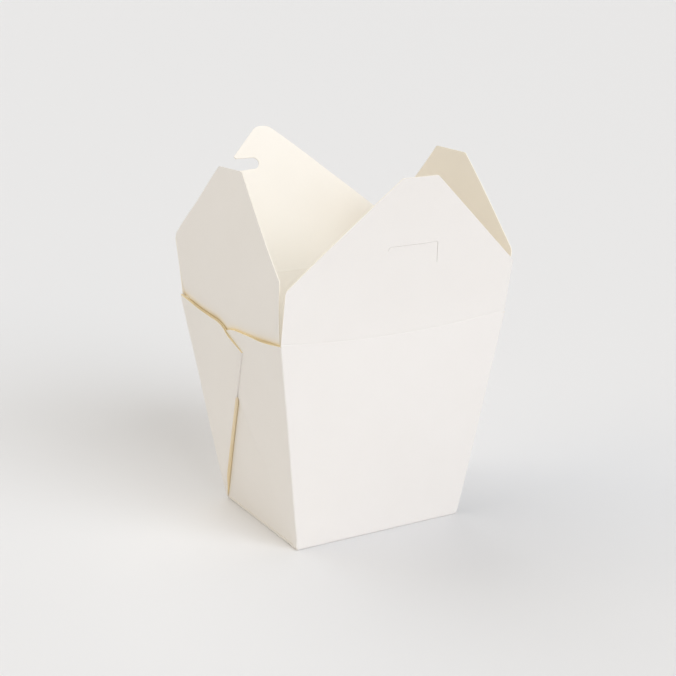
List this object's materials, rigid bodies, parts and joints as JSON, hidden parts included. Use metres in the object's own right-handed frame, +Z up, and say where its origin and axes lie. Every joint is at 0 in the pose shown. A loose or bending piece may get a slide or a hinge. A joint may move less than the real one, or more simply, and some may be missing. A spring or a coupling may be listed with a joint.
{
  "type": "noodle takeaway box",
  "caption": "Open folded paperboard takeaway box with tapered walls, folded corner webs on its sides and hinged closing flaps, one slotted and one with a hooked tab.",
  "frame": {"origin": "middle of the base's underside, on the surface the box stands on", "axes": "+Z up from the base to the open mouth, -Y to the front wall with the slotted flap, +Y to the flap with the hooked tab, +X to the right"},
  "size_m": [0.1139, 0.1398, 0.167],
  "materials": {
    "outer_board": "smooth white coated board",
    "inner_board": "uncoated warm white board"
  },
  "bodies": {
    "carton": {"carton": "outer_board"},
    "front_flap": {"flap_front": "outer_board"},
    "back_flap": {"flap_back": "inner_board"},
    "left_flap": {"flap_left": "outer_board"},
    "right_flap": {"flap_right": "inner_board"}
  },
  "joints": [
    {"name": "front_crease", "type": "hinge", "parent": "carton", "child": "front_flap", "pos_m": [0, -0.04877, 0.097], "axis": [-1, 0, 0], "range_deg": [-75.7, 103.3]},
    {"name": "back_crease", "type": "hinge", "parent": "carton", "child": "back_flap", "pos_m": [0, 0.04877, 0.097], "axis": [1, 0, 0], "range_deg": [-70.5, 105]},
    {"name": "left_crease", "type": "hinge", "parent": "carton", "child": "left_flap", "pos_m": [-0.05442, 0, 0.0963], "axis": [0, 1, 0], "range_deg": [-89, 91]},
    {"name": "right_crease", "type": "hinge", "parent": "carton", "child": "right_flap", "pos_m": [0.05442, 0, 0.0963], "axis": [0, -1, 0], "range_deg": [-87, 94.2]}
  ]
}
